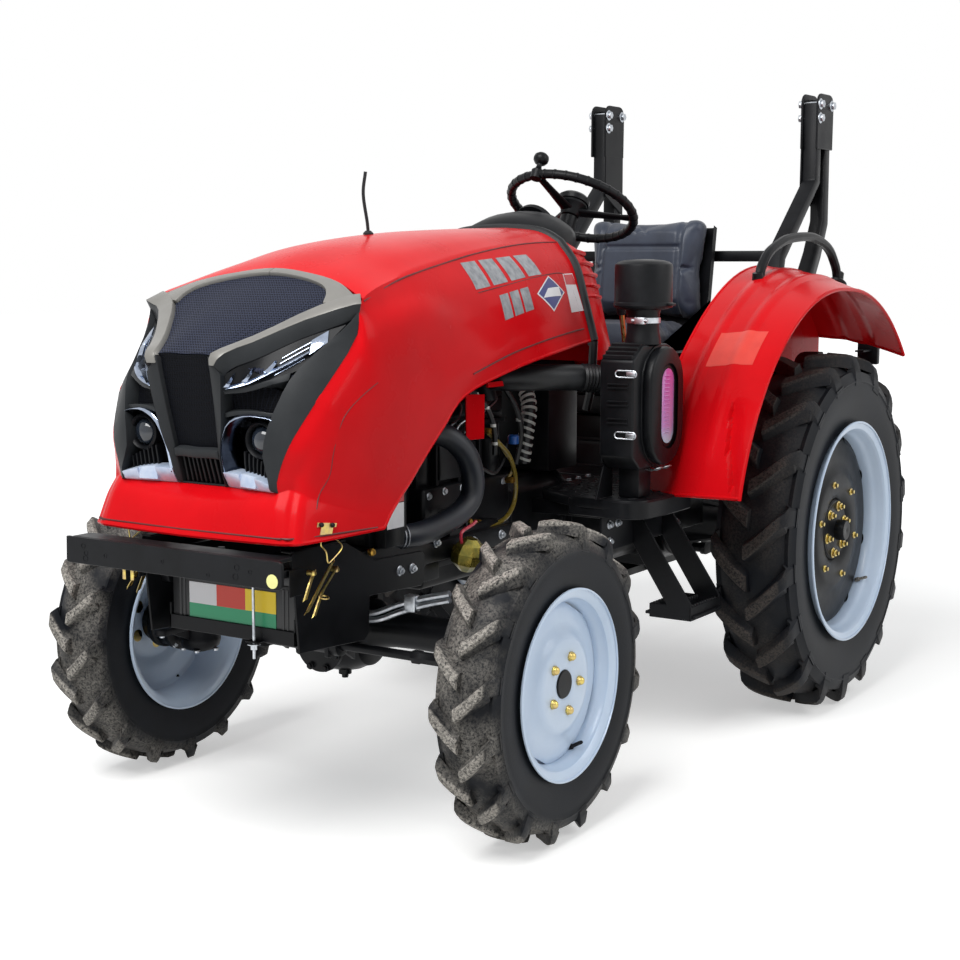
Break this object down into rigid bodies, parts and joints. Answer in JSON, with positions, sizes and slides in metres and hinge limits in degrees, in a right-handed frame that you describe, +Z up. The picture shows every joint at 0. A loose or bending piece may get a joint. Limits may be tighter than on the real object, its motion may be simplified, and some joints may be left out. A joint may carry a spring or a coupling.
{
  "type": "farm tractor",
  "caption": "Compact farm tractor with an open platform, lifting hood, front-wheel steering, short roll-bar posts and a rear lift hitch.",
  "frame": {"origin": "on the ground under the middle of the overall length and width", "axes": "+Z up; the nose points along -Y and the hitch along +Y; +X is the left side seen from the seat"},
  "size_m": [1.497, 2.9794, 1.857],
  "materials": {
    "battery_case": "black moulded case",
    "black_paint": "satin black paint",
    "brown_glass": "black moulded plastic",
    "cast_iron": "dark painted casting",
    "chrome": "polished rod",
    "dark_plastic": "fine-grained charcoal plastic",
    "grille_mesh": "black mesh",
    "hose_rubber": "smooth hose rubber",
    "lamp_lens": "clear lens over chrome",
    "red_paint": "gloss red enamel",
    "rim_paint": "pale blue-white enamel",
    "tyre": "moulded tractor tyre",
    "vinyl": "dark blue-grey seat vinyl"
  },
  "bodies": {
    "chassis": {"air_cleaner": "brown_glass", "battery": "battery_case", "battery_tray": "black_paint", "bumper": "black_paint", "cowl": "red_paint", "drawbar": "black_paint", "engine": "cast_iron", "fender_left": "red_paint", "fender_right": "red_paint", "front_axle": "cast_iron", "front_frame": "black_paint", "gear_lever": "black_paint", "grab_handle_left": "hose_rubber", "grab_handle_right": "hose_rubber", "intake_hose": "hose_rubber", "platform_left": "black_paint", "platform_right": "black_paint", "pre_cleaner": "brown_glass", "radiator": "black_paint", "radiator_hose": "hose_rubber", "rear_axle_left": "cast_iron", "rear_axle_right": "cast_iron", "roll_bar": "black_paint", "seat_back": "vinyl", "seat_base": "black_paint", "seat_cushion": "vinyl", "steering_console": "black_paint", "steering_cylinder": "black_paint", "transmission": "cast_iron"},
    "knuckle_left": {"knuckle_left": "cast_iron"},
    "knuckle_right": {"knuckle_right": "cast_iron"},
    "wheel_front_left": {"tyre_front_left": "tyre", "rim_front_left": "rim_paint"},
    "wheel_front_right": {"tyre_front_right": "tyre", "rim_front_right": "rim_paint"},
    "wheel_rear_left": {"tyre_rear_left": "tyre", "rim_rear_left": "rim_paint"},
    "wheel_rear_right": {"tyre_rear_right": "tyre", "rim_rear_right": "rim_paint"},
    "steering_wheel": {"steering_wheel": "brown_glass"},
    "steering_rod": {"steering_rod": "chrome"},
    "hood": {"hood": "red_paint", "nose_panel": "dark_plastic", "grille": "grille_mesh", "headlamp_left": "lamp_lens", "headlamp_right": "lamp_lens"},
    "lift_arms": {"lift_arms": "cast_iron"},
    "lift_rod_left": {"lift_rod_left": "cast_iron"},
    "lift_rod_right": {"lift_rod_right": "cast_iron"},
    "lower_link_left": {"lower_link_left": "cast_iron"},
    "lower_link_right": {"lower_link_right": "cast_iron"}
  },
  "joints": [
    {"name": "steer_left", "type": "hinge", "parent": "chassis", "child": "knuckle_left", "pos_m": [0.46, -0.885, 0.369], "axis": [0, 0, 1], "range_deg": [-30, 30]},
    {"name": "steer_right", "type": "hinge", "parent": "chassis", "child": "knuckle_right", "pos_m": [-0.46, -0.885, 0.369], "axis": [0, 0, 1], "range_deg": [-30, 30]},
    {"name": "roll_front_left", "type": "hinge", "parent": "knuckle_left", "child": "wheel_front_left", "pos_m": [0.575, -0.885, 0.369], "axis": [1, 0, 0], "continuous": true},
    {"name": "roll_front_right", "type": "hinge", "parent": "knuckle_right", "child": "wheel_front_right", "pos_m": [-0.575, -0.885, 0.369], "axis": [1, 0, 0], "continuous": true},
    {"name": "roll_rear_left", "type": "hinge", "parent": "chassis", "child": "wheel_rear_left", "pos_m": [0.629, 0.64, 0.5265], "axis": [1, 0, 0], "continuous": true},
    {"name": "roll_rear_right", "type": "hinge", "parent": "chassis", "child": "wheel_rear_right", "pos_m": [-0.629, 0.64, 0.5265], "axis": [1, 0, 0], "continuous": true},
    {"name": "steering_wheel_turn", "type": "hinge", "parent": "chassis", "child": "steering_wheel", "pos_m": [0, 0.26, 1.477], "axis": [0, 0.4848, 0.8746], "range_deg": [-480, 480]},
    {"name": "steering_rod_slide", "type": "slide", "parent": "chassis", "child": "steering_rod", "axis": [1, 0, 0], "range_m": [-0.08, 0.08]},
    {"name": "hood_lift", "type": "hinge", "parent": "chassis", "child": "hood", "pos_m": [0, -0.207, 1.384], "axis": [-1, 0, 0], "range_deg": [0, 50]},
    {"name": "rockshaft", "type": "hinge", "parent": "chassis", "child": "lift_arms", "pos_m": [0, 0.77, 0.872], "axis": [1, 0, 0], "range_deg": [-20, 18]},
    {"name": "lift_rod_left_pivot", "type": "hinge", "parent": "lift_arms", "child": "lift_rod_left", "pos_m": [0.2155, 1.02605, 0.91715], "axis": [1, 0, 0], "range_deg": [-17, 19]},
    {"name": "lower_link_left_pivot", "type": "hinge", "parent": "chassis", "child": "lower_link_left", "pos_m": [0.2155, 0.76, 0.41], "axis": [1, 0, 0], "range_deg": [-13, 12]},
    {"name": "lift_rod_right_pivot", "type": "hinge", "parent": "lift_arms", "child": "lift_rod_right", "pos_m": [-0.2155, 1.02605, 0.91715], "axis": [1, 0, 0], "range_deg": [-17, 19]},
    {"name": "lower_link_right_pivot", "type": "hinge", "parent": "chassis", "child": "lower_link_right", "pos_m": [-0.2155, 0.76, 0.41], "axis": [1, 0, 0], "range_deg": [-13, 12]}
  ],
  "couplings": [
    {"joint": "steer_right", "follows": "steer_left", "ratio": 1},
    {"joint": "steering_wheel_turn", "follows": "steer_left", "ratio": 16},
    {"joint": "steering_rod_slide", "follows": "steer_left", "m_per_rad": 0.152},
    {"joint": "lift_rod_left_pivot", "follows": "rockshaft", "ratio": -0.925},
    {"joint": "lower_link_left_pivot", "follows": "rockshaft", "ratio": 0.616},
    {"joint": "lift_rod_right_pivot", "follows": "rockshaft", "ratio": -0.925},
    {"joint": "lower_link_right_pivot", "follows": "rockshaft", "ratio": 0.616}
  ]
}
